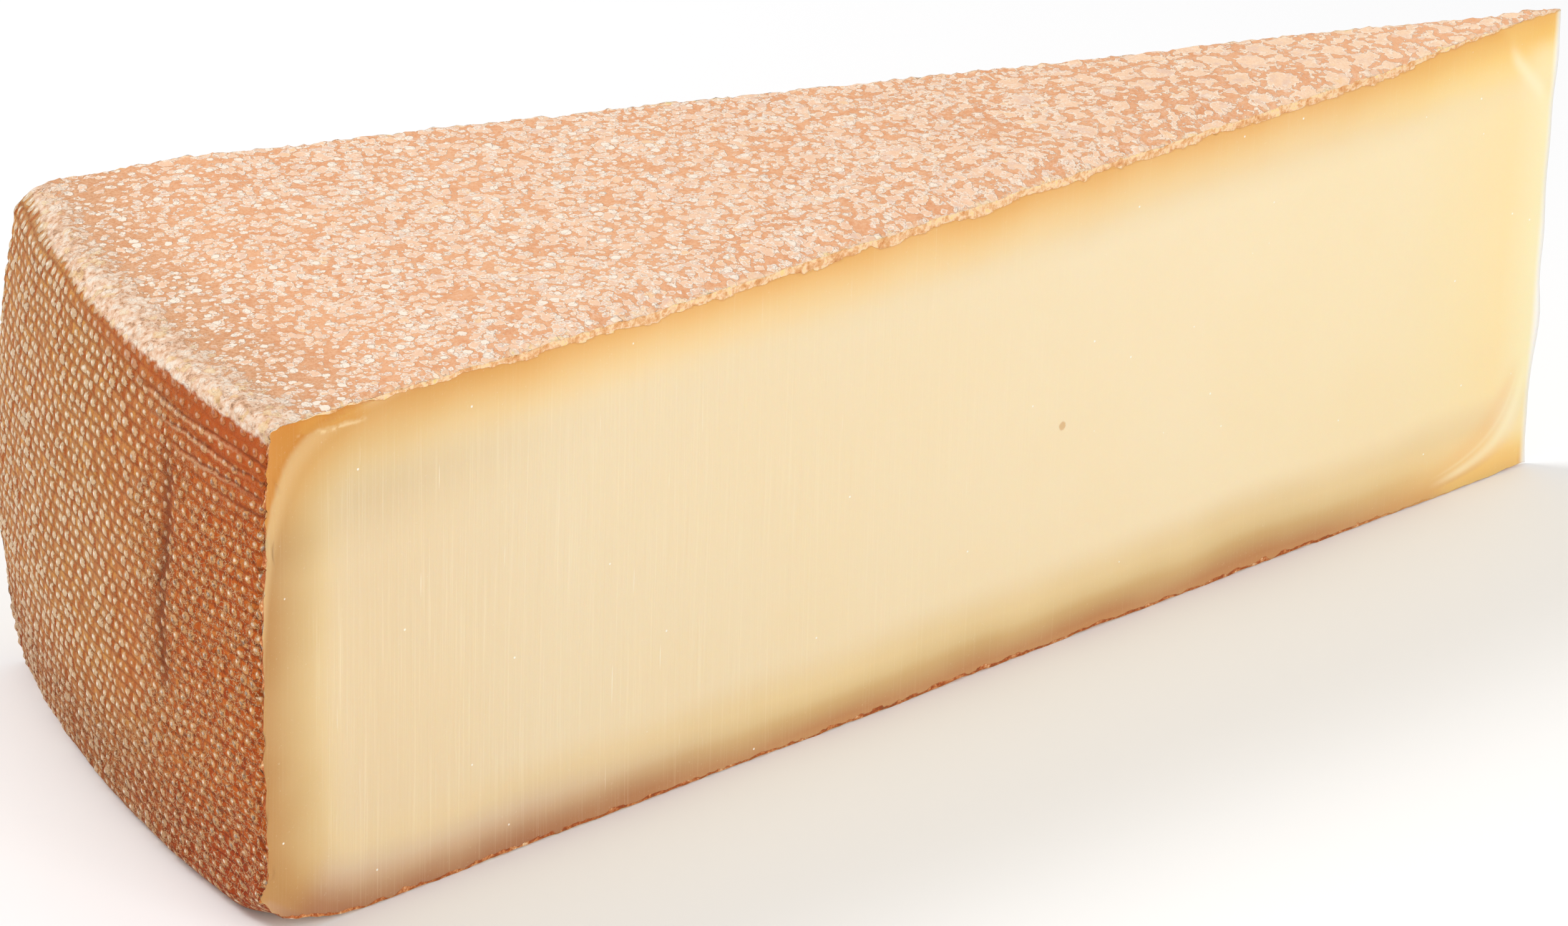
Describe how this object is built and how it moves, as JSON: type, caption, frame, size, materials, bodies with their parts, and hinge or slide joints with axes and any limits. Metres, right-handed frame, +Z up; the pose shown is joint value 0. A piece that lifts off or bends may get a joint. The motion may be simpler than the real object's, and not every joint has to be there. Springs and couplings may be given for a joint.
{
  "type": "cheese wedge",
  "caption": "Tall wedge of hard mountain cheese with a natural rind, cut from a large round wheel, with a convex cloth-marked heel, standing on its flat underside.",
  "frame": {"origin": "middle of the bounding box's underside, on the surface that the wedge rests on", "axes": "+X from the rounded heel to the thin tip, +Y across from the near cut face to the far one, +Z up through the wheel's thickness"},
  "size_m": [0.3154, 0.1178, 0.098],
  "materials": {
    "cheese": "satin, slightly waxy pale yellow paste on the two cut faces; dry, mottled orange-brown natural rind on the upper, lower and heel faces"
  },
  "bodies": {
    "root": {"cheese_wedge": "cheese"}
  },
  "joints": []
}
